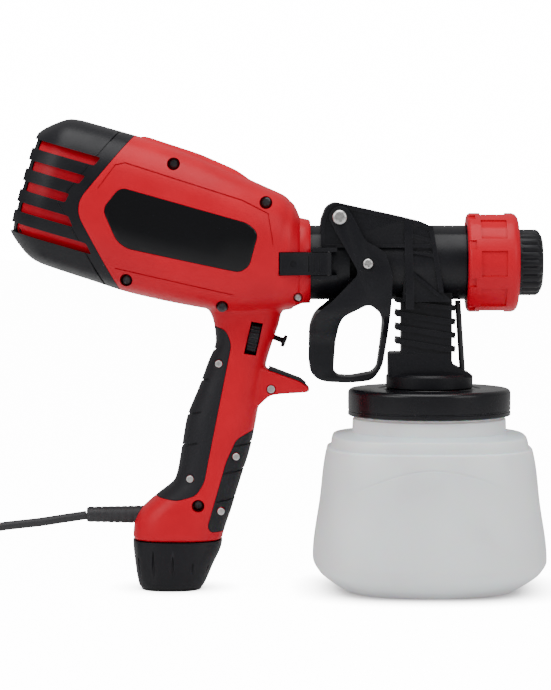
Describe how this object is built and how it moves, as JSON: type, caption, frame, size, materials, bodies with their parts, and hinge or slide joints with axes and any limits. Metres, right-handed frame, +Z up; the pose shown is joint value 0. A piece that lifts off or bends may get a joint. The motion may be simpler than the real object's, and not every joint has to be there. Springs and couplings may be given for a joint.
{
  "type": "hvlp spray gun",
  "caption": "Corded HVLP spray gun: motor unit with handle, spray head with trigger and nozzle, and a screw-on paint jar.",
  "frame": {"origin": "centre of the jar's flat base, on the surface the gun stands on", "axes": "+X the way it sprays, +Z up, +Y to the side without the speed dial"},
  "size_m": [0.3926, 0.1332, 0.2536],
  "materials": {
    "red_plastic": "satin",
    "black_plastic": "fine matt grain",
    "gloss_plate": "gloss",
    "soft_rubber": "matt",
    "plated_steel": "zinc plated",
    "dark_screws": "blackened",
    "copper_winding": "varnished wire",
    "cast_aluminium": "as cast",
    "carbon_brush": "pressed carbon",
    "circuit_board": "satin",
    "switch_grey": "matt",
    "filter_foam": "open foam",
    "white_nylon": "satin",
    "milky_plastic": "translucent satin"
  },
  "bodies": {
    "motor_unit": {"housing_left": "red_plastic", "housing_right": "red_plastic", "intake_grille": "red_plastic", "filter_foam": "filter_foam", "housing_screw_1": "dark_screws", "housing_screw_2": "dark_screws", "housing_screw_3": "dark_screws", "housing_screw_4": "dark_screws", "housing_screw_5": "dark_screws", "collar_screw": "dark_screws", "finger_rest_screw": "dark_screws", "name_plate_left": "gloss_plate", "name_plate_right": "gloss_plate", "stator_core": "plated_steel", "rear_bracket": "cast_aluminium", "front_bracket": "cast_aluminium", "bearing_rear": "plated_steel", "bearing_front": "plated_steel", "brush_left": "carbon_brush", "brush_right": "carbon_brush", "fan_housing": "black_plastic", "switch_body": "switch_grey", "control_board": "circuit_board", "rear_grip": "soft_rubber", "front_grip": "soft_rubber", "finger_rest_pad": "soft_rubber", "grip_screw_1": "plated_steel", "grip_screw_2": "plated_steel", "grip_screw_3": "plated_steel", "grip_screw_4": "plated_steel", "base_cap": "black_plastic", "strain_relief": "soft_rubber", "mains_cord": "soft_rubber", "cord_coil": "soft_rubber", "cord_tail": "soft_rubber", "plug_body": "soft_rubber", "plug_pin_1": "plated_steel", "plug_pin_2": "plated_steel"},
    "rotor": {"armature": "copper_winding", "motor_shaft": "plated_steel", "impeller": "black_plastic"},
    "rear_cover": {"filter_cover": "black_plastic"},
    "dial": {"speed_dial": "black_plastic"},
    "plunger": {"switch_plunger": "black_plastic"},
    "spray_head": {"spray_body": "black_plastic", "catch_pin": "plated_steel", "trigger_pivot_pin": "plated_steel", "jar_lid": "black_plastic", "lid_gasket": "soft_rubber", "pickup_tube": "white_nylon", "pressure_tube": "soft_rubber", "fluid_nozzle": "white_nylon", "needle_spring": "plated_steel"},
    "catch": {"head_catch": "black_plastic"},
    "trigger_lever": {"trigger": "black_plastic", "link_pin": "plated_steel"},
    "paint_needle": {"needle": "plated_steel"},
    "nut": {"ring_nut": "red_plastic"},
    "cap": {"air_cap": "black_plastic"},
    "paint_jar": {"jar": "milky_plastic"}
  },
  "joints": [
    {"name": "rotor_spin", "type": "hinge", "parent": "motor_unit", "child": "rotor", "pos_m": [-0.2176, 0, 0.2198], "axis": [0.9613, 0, -0.2756], "continuous": true},
    {"name": "rear_cover_pull", "type": "slide", "parent": "motor_unit", "child": "rear_cover", "axis": [-0.9613, 0, 0.2756], "range_m": [0, 0.05]},
    {"name": "speed_dial_turn", "type": "hinge", "parent": "motor_unit", "child": "dial", "pos_m": [-0.095, -0.0102, 0.1361], "axis": [0.9751, 0, -0.2215], "range_deg": [-135, 135]},
    {"name": "head_pull", "type": "slide", "parent": "motor_unit", "child": "spray_head", "axis": [1, 0, 0], "range_m": [0, 0.06]},
    {"name": "catch_flex", "type": "hinge", "parent": "spray_head", "child": "catch", "pos_m": [-0.055, -0.024, 0.1765], "axis": [0, 0, 1], "range_deg": [0, 8], "stiffness_Nm_per_rad": 0.3, "springref_deg": -5.73},
    {"name": "trigger_pull", "type": "hinge", "parent": "spray_head", "child": "trigger_lever", "pos_m": [-0.0491, 0, 0.2012], "axis": [0, 1, 0], "range_deg": [0, 12], "stiffness_Nm_per_rad": 1, "springref_deg": -11.46},
    {"name": "needle_travel", "type": "slide", "parent": "spray_head", "child": "paint_needle", "axis": [1, 0, 0], "range_m": [-0.0056, 0], "deforming": ["needle_spring"]},
    {"name": "plunger_press", "type": "slide", "parent": "motor_unit", "child": "plunger", "axis": [-0.9336, 0, 0.3584], "range_m": [0, 0.004]},
    {"name": "ring_nut_turn", "type": "hinge", "parent": "spray_head", "child": "nut", "pos_m": [0.0197, 0, 0.1765], "axis": [1, 0, 0], "range_deg": [0, 540]},
    {"name": "air_cap_turn", "type": "hinge", "parent": "spray_head", "child": "cap", "pos_m": [0.0407, 0, 0.1765], "axis": [1, 0, 0], "range_deg": [0, 90]},
    {"name": "jar_turn", "type": "hinge", "parent": "spray_head", "child": "paint_jar", "pos_m": [0, 0, 0.104], "axis": [0, 0, 1], "range_deg": [-450, 0]}
  ],
  "couplings": [
    {"joint": "needle_travel", "follows": "trigger_pull", "m_per_rad": -0.0255},
    {"joint": "plunger_press", "follows": "trigger_pull", "m_per_rad": 0.0185}
  ]
}
